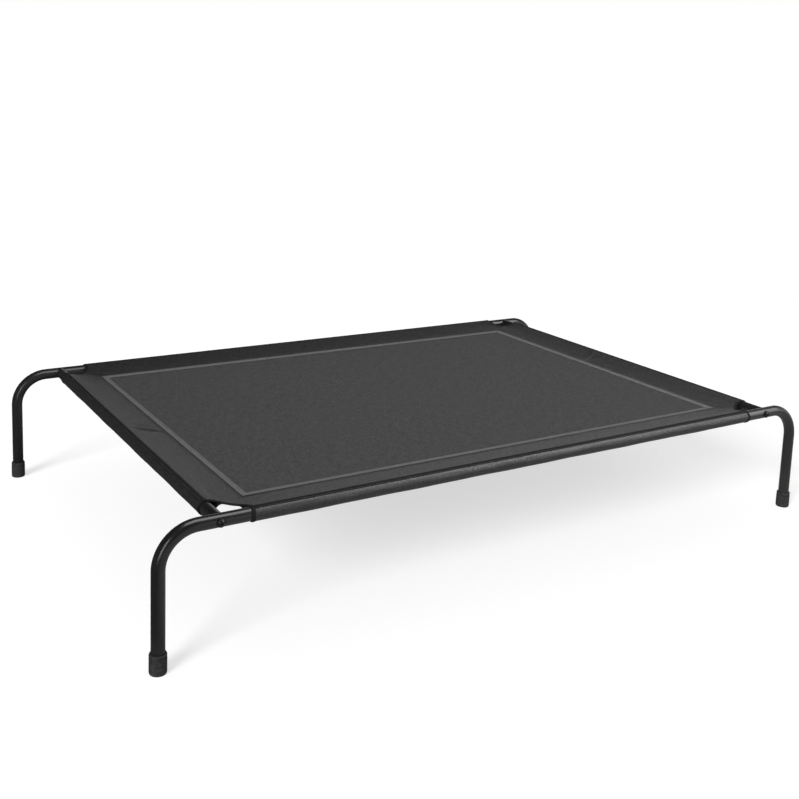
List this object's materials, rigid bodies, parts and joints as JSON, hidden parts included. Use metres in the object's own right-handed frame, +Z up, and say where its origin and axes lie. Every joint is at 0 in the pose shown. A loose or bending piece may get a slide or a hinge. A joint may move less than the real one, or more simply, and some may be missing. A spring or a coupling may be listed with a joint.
{
  "type": "raised dog cot",
  "caption": "Raised pet cot: knock-down frame of bent black steel tube on rubber feet, holding a taut mesh sling with sewn tube sleeves, bound corner cut-outs and a taped seam.",
  "frame": {"origin": "centre of the footprint, on the floor", "axes": "+X along the long side, +Y from the front long side to the rear one, +Z up"},
  "size_m": [1.25, 0.8084, 0.2048],
  "materials": {
    "tube_coat": "black powder coat, half gloss, fine orange peel",
    "cap_rubber": "matt moulded rubber",
    "insert_zinc": "bright zinc plate",
    "washer_black": "black moulded nylon",
    "bolt_black": "black oxide",
    "binding_tape": "black woven binding",
    "border_cloth": "charcoal coated oxford cloth",
    "seam_tape": "grey woven tape with rows of stitches",
    "mesh_cloth": "charcoal coated open weave mesh"
  },
  "bodies": {
    "root": {"leg_front_left": "tube_coat", "leg_front_right": "tube_coat", "leg_rear_left": "tube_coat", "leg_rear_right": "tube_coat", "foot_cap_front_left": "cap_rubber", "foot_cap_front_right": "cap_rubber", "foot_cap_rear_left": "cap_rubber", "foot_cap_rear_right": "cap_rubber", "rail_insert_front_left": "insert_zinc", "rail_insert_front_right": "insert_zinc", "rail_insert_rear_left": "insert_zinc", "rail_insert_rear_right": "insert_zinc", "saddle_washer_front_left": "washer_black", "saddle_washer_front_right": "washer_black", "saddle_washer_rear_left": "washer_black", "saddle_washer_rear_right": "washer_black", "corner_bolt_front_left": "bolt_black", "corner_bolt_front_right": "bolt_black", "corner_bolt_rear_left": "bolt_black", "corner_bolt_rear_right": "bolt_black", "corner_binding_front_left": "binding_tape", "corner_binding_front_right": "binding_tape", "corner_binding_rear_left": "binding_tape", "corner_binding_rear_right": "binding_tape", "rail_front": "tube_coat", "rail_rear": "tube_coat", "rail_left": "tube_coat", "rail_right": "tube_coat", "sleeve_front": "border_cloth", "sleeve_rear": "border_cloth", "sleeve_left": "border_cloth", "sleeve_right": "border_cloth", "seam_tape_front": "seam_tape", "seam_tape_rear": "seam_tape", "seam_tape_left": "seam_tape", "seam_tape_right": "seam_tape", "mesh_panel": "mesh_cloth"}
  },
  "joints": []
}
